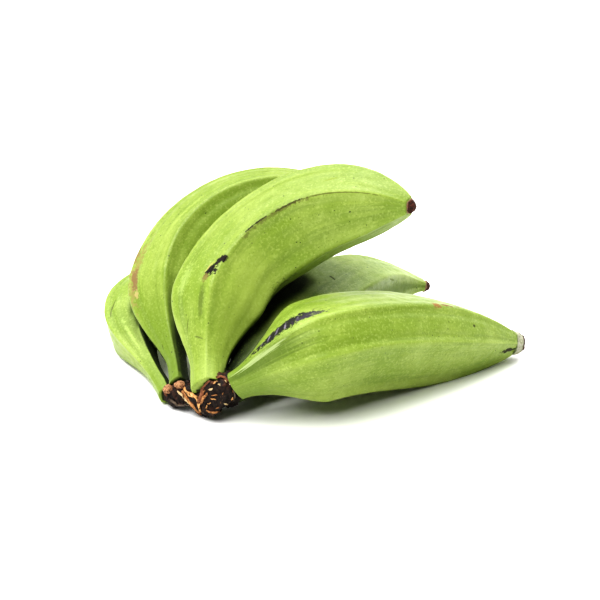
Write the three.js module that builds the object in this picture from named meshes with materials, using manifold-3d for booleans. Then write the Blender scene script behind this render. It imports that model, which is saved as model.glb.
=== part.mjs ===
// A hand of five green plantains, joined by nature at a dark cut crown.
// The hand lies on a surface as it was picked, resting on the bellies of its lower fingers.
// Millimetres, +Z up, +Y away from the side that shows the crown's cut. The origin is on the surface,
// in the middle of the hand's outer box.

import * as THREE from 'three';
import { mergeVertices } from 'three/addons/utils/BufferGeometryUtils.js';
import Module from 'manifold-3d';

// Driving dimensions

const CLEARANCE = 0.3;       // gap between pieces that touch
const RINGS = 28;            // cross sections along a finger
const SIDES_PER_FACE = 4;    // steps round a finger between two ridges
const FACES = 5;             // a plantain has five faces and five ridges
const FACE_FLATNESS = 0.85;  // 0 is a round section, 1 has flat faces
const RIDGE_SOFTNESS = 0.07; // how rounded the ridges are, as a share of a face
const YOUNG_SECTION = 0.45;  // how far the faces show already at the neck
const NECK_BLEND = 0.3;      // share of the length where a flattened neck turns round
const PEEL_END = 0.99;       // share of the route where the peel ends and the blossom end begins

// Each finger is a body on a smooth curve that runs from the crown to the blossom end.
// route: the curve's six control points. belly: the half thickness of the body.
// neck: the neck's thickness as a share of the belly, which swells from swellFrom to swellTo.
// taperFrom, taperPower and end: where and how it narrows to the blossom end.
// ridge: the turn in degrees of the first ridge round the curve. face: the width in degrees of the
// face after that ridge. breadth: how much wider the neck is across the bend than along it.
const FINGERS = {
  finger_1: {
    route: [[-80, -70, 6], [-99, -10, 9], [-120, 7, 18], [-108, 24, 17.5], [-74, 55, 23], [-42, 104, 38]],
    belly: 22.8, neck: 0.22, swellFrom: 0.11, swellTo: 0.53, taperFrom: 0.43, taperPower: 2, end: 0.17,
    ridge: 289, face: 58, breadth: 1.08,
  },
  finger_2: {
    route: [[-73, -71, 11], [-75, -23, 18], [-105, 12, 29], [-75, 36, 77], [-24, 38, 104], [27, 22, 78]],
    belly: 25.5, neck: 0.23, swellFrom: 0.09, swellTo: 0.38, taperFrom: 0.43, taperPower: 2, end: 0.17,
    ridge: 271, face: 68, breadth: 1.25,
  },
  finger_3: {
    route: [[-56, -87, 17], [-58.5, -44, 35], [-56, -24, 58], [-28, -10, 85], [11, -4, 97], [53, -31, 100]],
    belly: 28, neck: 0.36, swellFrom: 0.06, swellTo: 0.315, taperFrom: 0.5, taperPower: 3.5, end: 0.15,
    ridge: 281, face: 73, breadth: 1,
  },
  finger_4: {
    route: [[-46, -78, 13], [-14, -35, 23], [14, 7, 34], [31, 46, 26], [47, 73, 16], [70.5, 79, 10.5]],
    belly: 26.5, neck: 0.34, swellFrom: -0.02, swellTo: 0.3, taperFrom: 0.56, taperPower: 1.4, end: 0.14,
    ridge: 139, face: 59, breadth: 1,
  },
  finger_5: {
    route: [[-42, -90, 21], [-5, -91, 40], [8, -78, 45], [31, -59, 36], [63, -24, 21], [115, -8.5, 10]],
    belly: 28.9, neck: 0.35, swellFrom: -0.005, swellTo: 0.25, taperFrom: 0.36, taperPower: 3.3, end: 0.23,
    ridge: 194, face: 44, breadth: 0.68,
  },
};

// The middle of the hand's outer box, in the frame that the routes and the crown are drawn in.
const MIDDLE = { x: -0.2, y: -0.2 };

// Fingers press on each other. One later in this order gives way to those before it.
const PRESS_ORDER = ['finger_3', 'finger_5', 'finger_4', 'finger_2', 'finger_1'];

// The dried blossom ends: length past the skin, and width as a share of the finger's end.
const BLOSSOM = {
  blossom_end_1: { finger: 'finger_1', length: 4.5, width: 0.86, point: 0.45 },
  blossom_end_2: { finger: 'finger_2', length: 4.5, width: 0.86, point: 0.4 },
  blossom_end_3: { finger: 'finger_3', length: 3, width: 0.76, point: 0.45 },
  blossom_end_4: { finger: 'finger_4', length: 3.5, width: 0.88, point: 0.55 },
  blossom_end_5: { finger: 'finger_5', length: 6, width: 0.96, point: 0.72 },
};
const BLOSSOM_SIDES = 14;
const BLOSSOM_RINGS = 4;
const BLOSSOM_RAGGED = 0.1;

// The crown is a gnarled bar that follows the arc of the necks, torn and dried, with a flat cut front.
// at: middle of each stage from left to right. depth and height: half sizes there.
const CROWN_STAGES = [
  { at: [-83, -68, 7], depth: 3, height: 3 },
  { at: [-79.5, -70, 7.2], depth: 6, height: 4.5 },
  { at: [-73, -72, 8], depth: 8, height: 6.3 },
  { at: [-66, -76, 9.5], depth: 9, height: 7 },
  { at: [-60, -80, 10.5], depth: 10.5, height: 10 },
  { at: [-53, -84, 13.5], depth: 11.5, height: 11 },
  { at: [-46, -86, 17.5], depth: 10, height: 7.5 },
  { at: [-41, -87, 20], depth: 6, height: 4.5 },
];
const CROWN_KNOB = { at: [-46, -77, 12], size: 8.5 };  // carries the neck at the back
const CROWN_CUT = 0.78;         // share of the depth that the knife left at the front
const CROWN_SQUARENESS = 0.75;  // 1 is a round section, less is boxier
const CROWN_RELIEF = 0.09;      // height of the torn folds, as a share of the size
const CROWN_RINGS = 30;
const CROWN_SIDES = 28;
const KNOB_DETAIL = 4;

const SKIN = new THREE.MeshStandardMaterial({ color: '#9bb944', roughness: 0.45, metalness: 0 });
const DRIED = new THREE.MeshStandardMaterial({ color: '#3d2b1e', roughness: 0.9, metalness: 0 });
const WITHERED = new THREE.MeshStandardMaterial({ color: '#51402d', roughness: 0.9, metalness: 0 });

// Curves and sections

function smooth(x) {
  const s = THREE.MathUtils.clamp(x, 0, 1);
  return s * s * (3 - 2 * s);
}

// A Bezier curve of any degree, by repeated halving of its control polygon at t.
class Route extends THREE.Curve {
  constructor(points) {
    super();
    this.points = points.map((p) => new THREE.Vector3(...p));
    this.arcLengthDivisions = 400;
  }

  getPoint(t, target = new THREE.Vector3()) {
    let level = this.points.map((p) => p.clone());
    while (level.length > 1) {
      level = level.slice(1).map((p, i) => level[i].clone().lerp(p, t));
    }
    return target.copy(level[0]);
  }
}

// Half thickness of a finger at t, the share of its length from the crown.
function thickness(finger, t) {
  const swell = smooth((t - finger.swellFrom) / (finger.swellTo - finger.swellFrom));
  const body = finger.neck + (1 - finger.neck) * swell;
  const along = THREE.MathUtils.clamp((t - finger.taperFrom) / (1 - finger.taperFrom), 0, 1);
  return finger.belly * body * (1 - (1 - finger.end) * along ** finger.taperPower);
}

// The five ridges' angles in radians: the first face has its own width and the others share the rest.
function ridges(finger) {
  const rest = (360 - finger.face) / (FACES - 1);
  const turns = [0];
  for (let i = 0; i < FACES; i += 1) {
    turns.push(finger.face + rest * i);
  }
  return turns.map((turn) => THREE.MathUtils.degToRad(finger.ridge + turn));
}

// Share of the half thickness at u, from -1 to 1 across a face between two ridges.
function faceProfile(u, width) {
  const inset = Math.hypot(1 - Math.abs(u), RIDGE_SOFTNESS) - RIDGE_SOFTNESS;
  return 1 - FACE_FLATNESS * (1 - Math.cos(width / 2)) * (1 - (1 - inset) ** 2);
}

// The ring of points round a finger at t. grow adds to the half thickness.
function section(finger, curve, t, grow) {
  const middle = curve.getPointAt(t);
  const tangent = curve.getTangentAt(t);
  const [p0, , , p3, , p5] = curve.points;
  const side = p3.clone().sub(p0).cross(p5.clone().sub(p0)).normalize();
  side.addScaledVector(tangent, -side.dot(tangent)).normalize();
  const out = side.clone().cross(tangent);
  const half = thickness(finger, t);
  const faces = YOUNG_SECTION + (1 - YOUNG_SECTION) * smooth(t / 0.35);
  const breadth = 1 + (finger.breadth - 1) * (1 - smooth(t / NECK_BLEND));
  const turns = ridges(finger);
  const ring = [];
  for (let face = 0; face < FACES; face += 1) {
    const width = turns[face + 1] - turns[face];
    for (let step = 0; step < SIDES_PER_FACE; step += 1) {
      const share = step / SIDES_PER_FACE;
      const angle = turns[face] + width * share;
      const reach = half * (1 + (faceProfile(2 * share - 1, width) - 1) * faces) + grow;
      const point = middle.clone();
      point.addScaledVector(out, reach * Math.cos(angle));
      point.addScaledVector(side, reach * Math.sin(angle) * breadth);
      ring.push(point);
    }
  }
  return ring;
}

// Solids

// A closed body through rings of points, with a flat fan over each end.
function loft(rings) {
  const sides = rings[0].length;
  const last = rings.length - 1;
  const middle = (ring) => ring.reduce((sum, p) => sum.add(p), new THREE.Vector3()).divideScalar(sides);
  const points = [...rings.flat(), middle(rings[0]), middle(rings[last])];
  const start = rings.length * sides;
  const faces = [];
  for (let j = 0; j < sides; j += 1) {
    const k = (j + 1) % sides;
    for (let i = 0; i < last; i += 1) {
      const a = i * sides + j;
      const b = i * sides + k;
      faces.push(a, b, a + sides, b, b + sides, a + sides);
    }
    faces.push(start, k, j, start + 1, last * sides + j, last * sides + k);
  }
  const geometry = new THREE.BufferGeometry().setFromPoints(points);
  geometry.setIndex(faces);
  return geometry;
}

// Nothing reaches below the surface: what would is pressed flat on it.
function restOnSurface(geometry) {
  const { position } = geometry.attributes;
  for (let i = 0; i < position.count; i += 1) {
    position.setZ(i, Math.max(position.getZ(i), 0));
  }
  return geometry;
}

function fingerBody(finger, grow = 0) {
  const curve = new Route(finger.route);
  const rings = [];
  for (let i = 0; i <= RINGS; i += 1) {
    const even = i / RINGS;
    const t = even + (0.5 - 0.5 * Math.cos(Math.PI * even) - even) * 0.5;
    rings.push(section(finger, curve, t * PEEL_END, grow));
  }
  const body = loft(rings);
  return grow > 0 ? body : restOnSurface(body);
}

// A short ragged cone that starts just past the end of its finger and follows its line.
function blossomEnd(shape) {
  const finger = FINGERS[shape.finger];
  const curve = new Route(finger.route);
  const line = curve.getTangentAt(PEEL_END);
  const end = curve.getPointAt(PEEL_END);
  const wide = thickness(finger, PEEL_END) * shape.width;
  const across = new THREE.Vector3(0, 0, 1).cross(line).normalize();
  const up = line.clone().cross(across);
  const rings = [];
  for (let i = 0; i <= BLOSSOM_RINGS; i += 1) {
    const share = i / BLOSSOM_RINGS;
    const ring = [];
    for (let j = 0; j < BLOSSOM_SIDES; j += 1) {
      const angle = (2 * Math.PI * j) / BLOSSOM_SIDES;
      const ragged = 1 - BLOSSOM_RAGGED * (0.5 + 0.5 * Math.sin(5 * angle + 2 * i + finger.ridge));
      const reach = wide * (1 - (1 - shape.point) * share ** 1.3) * ragged;
      const point = end.clone().addScaledVector(line, CLEARANCE + shape.length * share);
      point.addScaledVector(across, reach * Math.cos(angle));
      point.addScaledVector(up, reach * Math.sin(angle));
      ring.push(point);
    }
    rings.push(ring);
  }
  return restOnSurface(loft(rings));
}

function squared(x) {
  return Math.sign(x) * Math.abs(x) ** CROWN_SQUARENESS;
}

// Torn folds on the crown: a number near 1 that grows or shrinks the surface at a place.
function tornRelief(x, y, z) {
  const folds = Math.sin(0.55 * x + 0.3 * z) * Math.sin(0.5 * z - 0.35 * y);
  return 1 + CROWN_RELIEF * (folds + 0.5 * Math.sin(0.9 * x + 0.7 * y));
}

function crownBar() {
  const curve = new THREE.CatmullRomCurve3(CROWN_STAGES.map(({ at }) => new THREE.Vector3(...at)));
  const sizes = CROWN_STAGES.map(({ depth, height }) => new THREE.Vector3(depth, height, 0));
  const sizeCurve = new THREE.CatmullRomCurve3(sizes);
  const up = new THREE.Vector3(0, 0, 1);
  const rings = [];
  for (let i = 0; i <= CROWN_RINGS; i += 1) {
    const t = i / CROWN_RINGS;
    const middle = curve.getPoint(t);
    const back = up.clone().cross(curve.getTangent(t)).normalize();
    const { x: depth, y: height } = sizeCurve.getPoint(t);
    const ring = [];
    for (let j = 0; j < CROWN_SIDES; j += 1) {
      const angle = (2 * Math.PI * j) / CROWN_SIDES;
      const relief = tornRelief(middle.x + 12 * Math.cos(angle), middle.y, middle.z + 12 * Math.sin(angle));
      const along = Math.max(squared(Math.cos(angle)) * relief, -CROWN_CUT) * depth;
      const point = middle.clone().addScaledVector(back, along);
      ring.push(point.addScaledVector(up, squared(Math.sin(angle)) * relief * height));
    }
    rings.push(ring);
  }
  return restOnSurface(loft(rings));
}

function crownKnob({ at, size }) {
  const knob = new THREE.IcosahedronGeometry(size, KNOB_DETAIL);
  const { position } = knob.attributes;
  const point = new THREE.Vector3();
  for (let i = 0; i < position.count; i += 1) {
    point.fromBufferAttribute(position, i);
    point.multiplyScalar(tornRelief(point.x, point.y, point.z));
    point.add(new THREE.Vector3(...at));
    position.setXYZ(i, point.x, point.y, point.z);
  }
  return knob;
}

// Joining and cutting

const wasm = await Module();
wasm.setup();

function toSolid(geometry) {
  const bare = new THREE.BufferGeometry();
  bare.setAttribute('position', geometry.attributes.position);
  bare.setIndex(geometry.index);
  const merged = mergeVertices(bare, 1e-4);
  return new wasm.Manifold(new wasm.Mesh({
    numProp: 3,
    vertProperties: merged.attributes.position.array,
    triVerts: Uint32Array.from(merged.index.array),
  }));
}

function toGeometry(solid) {
  const { vertProperties, triVerts } = solid.getMesh();
  const geometry = new THREE.BufferGeometry();
  geometry.setAttribute('position', new THREE.BufferAttribute(vertProperties, 3));
  geometry.setIndex(new THREE.BufferAttribute(triVerts, 1));
  return geometry;
}

// The largest piece of what is left of a body, without loose scraps or slivers.
function wholePiece(solid) {
  const pieces = solid.simplify(0.02).decompose();
  return pieces.reduce((best, piece) => (piece.volume() > best.volume() ? piece : best));
}

// The hand

const hand = new THREE.Group();
hand.position.set(-MIDDLE.x, -MIDDLE.y, 0);

function addPiece(name, solid, material) {
  const geometry = toGeometry(wholePiece(solid));
  geometry.computeVertexNormals();
  const mesh = new THREE.Mesh(geometry, material);
  mesh.name = name;
  hand.add(mesh);
}

let pressed = null;
for (const name of PRESS_ORDER) {
  let body = toSolid(fingerBody(FINGERS[name]));
  if (pressed) {
    body = body.subtract(pressed);
  }
  addPiece(name, body, SKIN);
  const room = toSolid(fingerBody(FINGERS[name], CLEARANCE));
  pressed = pressed ? pressed.add(room) : room;
}

const crown = toSolid(crownBar()).add(toSolid(crownKnob(CROWN_KNOB)));
addPiece('crown', crown.subtract(pressed), DRIED);

for (const [name, shape] of Object.entries(BLOSSOM)) {
  addPiece(name, toSolid(blossomEnd(shape)), WITHERED);
}

export default hand;
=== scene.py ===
"""A hand of five green plantains lying on a pale surface: waxy ridged peel, a torn dried crown and dry
blossom ends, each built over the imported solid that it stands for. Metres, +Z up, +Y away from the camera."""

import math

import bpy
import numpy as np
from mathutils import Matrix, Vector, noise
from mathutils.bvhtree import BVHTree


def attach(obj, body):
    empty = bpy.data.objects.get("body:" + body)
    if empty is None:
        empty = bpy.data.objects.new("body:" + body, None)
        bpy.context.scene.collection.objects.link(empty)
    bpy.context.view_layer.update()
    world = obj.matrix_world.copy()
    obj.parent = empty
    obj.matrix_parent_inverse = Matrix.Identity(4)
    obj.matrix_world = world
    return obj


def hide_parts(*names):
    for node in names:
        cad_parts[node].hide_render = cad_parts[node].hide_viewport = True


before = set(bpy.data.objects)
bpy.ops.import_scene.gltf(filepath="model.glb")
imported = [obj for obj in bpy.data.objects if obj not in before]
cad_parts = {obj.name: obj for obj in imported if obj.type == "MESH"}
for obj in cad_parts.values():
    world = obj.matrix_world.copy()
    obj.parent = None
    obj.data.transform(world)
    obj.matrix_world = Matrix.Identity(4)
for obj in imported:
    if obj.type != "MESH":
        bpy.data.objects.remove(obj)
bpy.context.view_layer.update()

MM = 0.001
CLEAR = 0.02           # mm between the floor and what lies just over it
SKIN_PER_DEGREE = 0.45  # mm of peel for a degree round a finger of usual thickness
HALF_IN_DEGREES = 57    # degrees of that peel that are as long as the half thickness
MIDDLE = np.array([-0.2, -0.2, 0.0])  # the middle of the outer box, in the frame of the routes, mm

# Camera: a long lens that looks down on the hand from the front
CAMERA_LENS = 100.0
CAMERA_SENSOR = 36.0
CAMERA_DOWN = 22.0     # degrees
CAMERA_DISTANCE = 911.0  # mm
CAMERA_TARGET = (-7.8, -41.8, 50.0)  # mm

# Fingers, as in the solids: millimetres and degrees
FACES = 5
FACE_FLATNESS = 0.85   # 1 for flat faces between the ridges, 0 for a round finger
RIDGE_SOFTNESS = 0.07  # how far a ridge is rounded, as a share of half a face
YOUNG_SECTION = 0.45   # how far the faces show already at the neck
GROWN_SECTION = 0.35   # the share of the length by which they show in full
NECK_BLEND = 0.3       # the share of the length over which the breadth of the neck fades
PEEL_END = 0.99        # the share of the length at which the peel ends

# route: the curve's six control points from the crown to the blossom end. belly: half thickness of the body.
# neck: its thickness as a share of the belly. swell: where that grows. taper, power, end: how it narrows.
# ridge: the turn of the first ridge. face: the width of the face after it. breadth: of the neck.
FINGERS = {
    "finger_1": dict(
        route=[(-80, -70, 6), (-99, -10, 9), (-120, 7, 18), (-108, 24, 17.5), (-74, 55, 23), (-42, 104, 38)],
        belly=22.8, neck=0.22, swell=(0.11, 0.53), taper=0.43, power=2.0, end=0.17,
        ridge=289, face=58, breadth=1.08,
    ),
    "finger_2": dict(
        route=[(-73, -71, 11), (-75, -23, 18), (-105, 12, 29), (-75, 36, 77), (-24, 38, 104), (27, 22, 78)],
        belly=25.5, neck=0.23, swell=(0.09, 0.38), taper=0.43, power=2.0, end=0.17,
        ridge=271, face=68, breadth=1.25,
    ),
    "finger_3": dict(
        route=[
            (-56, -87, 17), (-58.5, -44, 35), (-56, -24, 58), (-28, -10, 85), (11, -4, 97), (53, -31, 100)],
        belly=28.0, neck=0.36, swell=(0.06, 0.315), taper=0.5, power=3.5, end=0.15,
        ridge=281, face=73, breadth=1.0,
    ),
    "finger_4": dict(
        route=[(-46, -78, 13), (-14, -35, 23), (14, 7, 34), (31, 46, 26), (47, 73, 16), (70.5, 79, 10.5)],
        belly=26.5, neck=0.34, swell=(-0.02, 0.3), taper=0.56, power=1.4, end=0.14,
        ridge=139, face=59, breadth=1.0,
    ),
    "finger_5": dict(
        route=[(-42, -90, 21), (-5, -91, 40), (8, -78, 45), (31, -59, 36), (63, -24, 21), (115, -8.5, 10)],
        belly=28.9, neck=0.35, swell=(-0.005, 0.25), taper=0.36, power=3.3, end=0.23,
        ridge=194, face=44, breadth=0.68,
    ),
}

# Marks on the peel. along: mm from the crown, turn: degrees from the first ridge, long and wide: mm,
# lean: degrees, ragged: how far the edge frays, soft: how gently it fades, streaked: it frays along fibres
USUAL_MARK = dict(lean=0, ragged=0.9, soft=0.2, strength=1.0, streaked=False)
MARK_EDGE = 1.05       # where a mark ends, as a share of its half size
MARKS = {
    "finger_1": [
        dict(along=82, turn=-58, long=9, wide=1.2, lean=35, colour="#4b5026", strength=0.75),
        dict(along=78, turn=-64, long=7, wide=1.0, lean=20, colour="#55582e", strength=0.7),
        # Painted highlight: a pale streak
        dict(along=57, turn=-38, long=22, wide=4, lean=-6, colour="#b8cc78", strength=0.35, soft=0.6,
             ragged=1.4),
        dict(along=54.5, turn=8, long=3, wide=1.2, lean=30, colour="#3a4218", strength=0.7),
    ],
    "finger_2": [
        dict(along=80, turn=-63, long=28, wide=6, lean=6, colour="#8f8150", strength=0.65, ragged=2.2),
        dict(along=77, turn=-61, long=12, wide=5, lean=-8, colour="#7d6342", strength=0.9, ragged=1.4),
        dict(along=69, turn=-58, long=5, wide=3, lean=-30, colour="#ad9a6a", strength=0.7, ragged=1.4),
        dict(along=90, turn=-69, long=7, wide=2, colour="#7d6244", strength=0.7, ragged=1.6),
        dict(along=163, turn=-33, long=5, wide=3, colour="#6d7a32", strength=0.6, ragged=1.2),
        dict(along=33, turn=-50, long=4, wide=1.4, lean=40, colour="#3a4218", strength=0.7),
        dict(along=115, turn=-20, long=30, wide=3, lean=4, colour="#9fae5c", strength=0.4, ragged=2.0,
             soft=0.4),
    ],
    "finger_3": [
        # Painted light: a broad pale patch on the side face
        dict(along=52, turn=40, long=74, wide=26, colour="#a6b759", strength=0.45, ragged=0.5, soft=0.7),
        dict(along=64, turn=-9, long=8, wide=6, lean=30, colour="#17110c", ragged=1.5),
        dict(along=71, turn=-3, long=8, wide=3.4, lean=30, colour="#1f1710", ragged=1.5),
        dict(along=59, turn=-13, long=5, wide=3.4, colour="#75643a", strength=0.8, ragged=1.4),
        dict(along=66, turn=-15, long=8, wide=1.2, lean=20, colour="#b5a868", strength=0.6, ragged=1.2),
        dict(along=45, turn=-12, long=15, wide=3.6, lean=2, colour="#4b5a1c", strength=0.6, ragged=1.1,
             soft=0.5),
        dict(along=102, turn=1, long=15, wide=0.9, lean=2, colour="#23210f", strength=0.95, ragged=1.5),
        dict(along=121, turn=2, long=19, wide=0.9, lean=-1, colour="#2d2c1a", strength=0.95, ragged=1.6),
        dict(along=112, turn=3, long=38, wide=1.6, colour="#5c5a2c", strength=0.6, ragged=2.0),
        dict(along=150, turn=2, long=50, wide=0.7, colour="#565526", strength=0.7, ragged=1.1),
        dict(along=147, turn=-29, long=8, wide=1.6, lean=-30, colour="#7f8c38", strength=0.7),
        dict(along=35, turn=-45, long=8, wide=0.8, lean=40, colour="#4f5a24", strength=0.75),
        dict(along=27, turn=-20, long=0.9, wide=9, lean=15, colour="#5a6430", strength=0.75),
        # Painted highlight: a pale patch on the left flank
        dict(along=58, turn=-53, long=14, wide=7, colour="#b5c878", strength=0.3, ragged=2.0, soft=0.5),
        dict(along=84, turn=80, long=26, wide=6, lean=4, colour="#4c5420", strength=0.55, ragged=2.5,
             soft=0.3),
    ],
    "finger_4": [
        dict(along=96, turn=92, long=1.4, wide=5, lean=10, colour="#3d431c", strength=0.8),
        # Painted shade: a long dark band on the lower side
        dict(along=140, turn=166, long=130, wide=15, colour="#52661c", strength=0.65, ragged=0.5, soft=0.5),
        dict(along=142, turn=141, long=9, wide=1.2, lean=12, colour="#5c6a26", strength=0.6),
    ],
    "finger_5": [
        dict(along=31, turn=-22, long=29, wide=9, lean=6, colour="#19141a", ragged=1.35, strength=0.97),
        dict(along=22, turn=-26, long=1.1, wide=5, lean=25, colour="#6f6873", ragged=1.5, strength=0.6),
        dict(along=26, turn=-24, long=1.0, wide=6, lean=20, colour="#8b8390", ragged=1.6, strength=0.6),
        dict(along=30, turn=-22, long=1.2, wide=6, lean=28, colour="#77707c", ragged=1.6, strength=0.6),
        dict(along=34, turn=-20, long=0.9, wide=6, lean=18, colour="#8b8390", ragged=1.6, strength=0.6),
        dict(along=39, turn=-18, long=1.1, wide=5, lean=24, colour="#6f6873", ragged=1.6, strength=0.6),
        dict(along=17, turn=10, long=36, wide=15, lean=3, colour="#42561b", strength=0.6, ragged=0.7,
             soft=0.5, streaked=True),
        dict(along=44, turn=-15, long=12, wide=5, lean=2, colour="#3a3340", ragged=1.7, strength=0.8),
        dict(along=114, turn=-2, long=6, wide=4.0, colour="#8f6a40", ragged=1.5, strength=0.95),
        dict(along=122, turn=-3, long=8, wide=2.6, colour="#7d5634", ragged=1.5, strength=0.9),
        dict(along=132, turn=-4, long=4, wide=1.6, colour="#6b4c2a", strength=0.8),
        dict(along=143, turn=20, long=2.2, wide=1.8, colour="#3a3a1a", strength=0.85),
        dict(along=16, turn=2, long=22, wide=4, lean=3, colour="#b4c28a", strength=0.6, ragged=1.5,
             streaked=True),
        dict(along=179, turn=70, long=12, wide=7, colour="#221a10", strength=0.95, ragged=1.4),
    ],
}

# Necks: their colour, how far it reaches from the crown in mm, and its strength. On the third finger it is
# painted light, on the fourth painted shade
NECKS = {
    "finger_1": ("#6f8430", 45.0, 0.6),
    "finger_2": ("#677c2c", 88.0, 0.85),
    # Painted light: the third finger's neck is drawn lighter
    "finger_3": ("#8b9d47", 34.0, 0.45),
    # Painted shade: the fourth finger's neck is drawn nearly black
    "finger_4": ("#222e0d", 82.0, 0.94),
    "finger_5": ("#6c8130", 36.0, 0.6),
}

# Where a side is fuller: along and turn, how far each way it fades over, and by how much, mm and degrees
FULLER_SIDE = {"finger_3": (110, 105, 24, 45, 2.8)}
NECK_RINGS = 14        # rings of the rounded root of each neck
NECK_DOME = 0.1        # how far that root runs on, as a share of the neck's half thickness
CREVICE_REACH = 22.0   # mm over which a neighbour paints shade on the peel and dulls it
CREVICE_STEPS = (4, 3)  # rings and sides between two measured places
CREVICE_WAYS = 24      # directions that each measured place looks in
FINGER_RINGS = 260
FINGER_SIDES = 150
WELT_RISE = 0.35       # mm
WELT_VALLEY = 0.6      # mm
UNEVEN_BROAD = 0.4     # mm, over swells of about 24 mm
UNEVEN_FINE = 0.16     # mm, over dents of about 7 mm
UNEVEN_LOWER = 0.15    # mm that the skin is set back, so that its swells stay near the solid
SEAM_TURN = 200        # where the count of degrees round a finger starts again, on its hidden side
FIBRE_LENGTH = 40      # mm
FIBRE_WIDTH = 1.6      # mm

# Crown, as in the solids: middle, half depth and half height of each stage, mm
CROWN_STAGES = [
    ((-83, -68, 7), 3, 3),
    ((-79.5, -70, 7.2), 6, 4.5),
    ((-73, -72, 8), 8, 6.3),
    ((-66, -76, 9.5), 9, 7),
    ((-60, -80, 10.5), 10.5, 10),
    ((-53, -84, 13.5), 11.5, 11),
    ((-46, -86, 17.5), 10, 7.5),
    ((-41, -87, 20), 6, 4.5),
]
CROWN_KNOB = ((-46, -77, 12), 8.5)
CROWN_CUT = 0.78
CROWN_SQUARENESS = 0.75
CROWN_RELIEF = 0.09
CROWN_RINGS = 120
CROWN_SIDES = 96
CROWN_GRAIN = 0.5      # mm between points of the torn surface
CROWN_LUMPS = 0.5      # mm, the height of lumps about 6 mm across
CROWN_TEARS = 0.75     # mm, the height of torn edges about 3 mm apart
CROWN_FIBRES = 0.3     # mm, the height of fibres about 1.4 mm apart

# Waist of the crown: its place across, its half width, and how far the top sinks or the underside rises, mm
WAIST_TOP = (-62.2, 3.6, 6.0)
WAIST_UNDER = (-66.8, 4.0, 4.0)
CROWN_LEFT_END = -77   # mm
CROWN_SQUEEZE = 0.35   # the share by which the crown is shortened past its left end

# Flat faces that the knife left on the crown: a place on each, the way it looks, and how far it spreads, mm
CROWN_KNIFE_CUTS = [
    ((-40, -91, 9), (0.78, -0.5, -0.36), 14),
    ((-50, -94.5, 12), (0.1, -0.98, 0.1), 16),
    ((-59, -90, 5), (-0.55, -0.6, -0.58), 14),
    ((-73, -78, 9), (-0.1, -0.9, 0.42), 10),
]
KNIFE_FADE = 3         # mm over which each face ends

# Peeled strips on the crown. way: across and up as the front shows them, mm; wide: mm; tone: light and dark
PALE_TAN = ("#e3b67c", "#a06a36")
CREAM = ("#e6d3a8", "#a98a5a")
BROWN_TAN = ("#b98654", "#5c3519")
RED_TAN = ("#8c5b3d", "#42220f")
GREY_BROWN = ("#6f6152", "#3b3027")
STRIPS = [
    ([(-70.8, 18.6), (-67.5, 15.0), (-64.4, 14.0), (-62.0, 12.2)], 2.6, PALE_TAN),
    ([(-74.0, 15.8), (-70.5, 13.2), (-68.8, 10.6), (-66.2, 8.8)], 1.7, CREAM),
    ([(-71.4, 16.4), (-69.6, 13.2), (-67.9, 11.4), (-65.3, 8.8), (-62.7, 5.8), (-60.0, 2.7)], 2.4, BROWN_TAN),
    ([(-54.8, 21.9), (-57.4, 19.8), (-59.2, 17.1), (-60.0, 13.6), (-61.4, 11.4), (-62.2, 8.3)], 2.2, RED_TAN),
    ([(-56.5, 15.8), (-58.7, 12.7), (-60.5, 9.2)], 1.5, BROWN_TAN),
    ([(-78.4, 11.0), (-75.8, 9.7), (-72.3, 7.0)], 1.3, GREY_BROWN),
    ([(-63.5, 13.0), (-61.8, 11.0), (-61.5, 7.5), (-60.2, 4.8)], 1.3, PALE_TAN),
    ([(-54.0, 22.6), (-51.0, 23.8), (-48.0, 23.4), (-44.8, 20.4)], 1.7, RED_TAN),
    ([(-79.6, 18.6), (-80.8, 15.4), (-79.2, 12.6)], 1.5, RED_TAN),
    ([(-43.2, 19.4), (-42.6, 14.0), (-43.6, 10.4)], 0.9, GREY_BROWN),
    ([(-57.6, 6.4), (-54.0, 5.0), (-50.6, 5.6)], 1.0, BROWN_TAN),
]

# Small torn flecks on the black cut: across and up, length, width, lean in degrees
FLECKS = [
    (-54.8, 17.7, 3.2, 1.2, 20), (-53.0, 14.4, 4.0, 0.9, 5), (-53.5, 12.3, 3.4, 0.8, -10),
    (-44.3, 20.6, 2.6, 0.9, 40), (-43.4, 16.5, 1.8, 1.2, 70), (-43.8, 12.7, 2.2, 0.8, 60),
    (-47.1, 9.7, 2.6, 0.9, -25), (-51.3, 7.7, 2.2, 0.8, 15), (-57.4, 7.9, 2.8, 0.9, 50),
    (-50.4, 19.8, 2.4, 0.7, -35), (-48.4, 15.3, 2.0, 0.6, 80), (-55.6, 10.0, 2.2, 0.7, 30),
    (-47.0, 21.6, 2.0, 0.8, -50), (-58.2, 16.4, 2.0, 0.8, 60), (-52.6, 20.9, 3.0, 1.0, 25),
]
FLECK_SIZE = 0.8       # the share of those sizes that is built

# Stubs where the outer leaves of the stalk dried off: across, up, and half sizes, mm
NUBS = [(-79.3, 16.6, (2.7, 2.4, 2.4)), (-72.9, 18.9, (3.0, 2.2, 2.1))]
NUB_RINGS = 36
NUB_SIDES = 48
STRIP_RINGS = 44
STRIP_SIDES = 18
STRIP_THICK = 0.55     # mm
STRIP_LIFT = 0.35      # mm
STRIP_CURL = 0.3       # mm

# Blossom ends, as in the solids: length past the peel, width as a share of the finger's end, and point
BLOSSOM = {
    "blossom_end_1": ("finger_1", 4.5, 0.86, 0.45),
    "blossom_end_2": ("finger_2", 4.5, 0.86, 0.4),
    "blossom_end_3": ("finger_3", 3.0, 0.76, 0.45),
    "blossom_end_4": ("finger_4", 3.5, 0.88, 0.55),
    "blossom_end_5": ("finger_5", 6.0, 0.96, 0.72),
}
BLOSSOM_GAP = 0.3
BLOSSOM_RAGGED = 0.1
BLOSSOM_CRUMBS = 0.35  # mm
BLOSSOM_SIDES = 84
BLOSSOM_RINGS = 30

# Floor: half width of the flat board and of its outer rim, which rises so that low views meet white, m
FLOOR_FLAT = 8.0
FLOOR_EDGE = 10.5
FLOOR_RISE = 0.9

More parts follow.
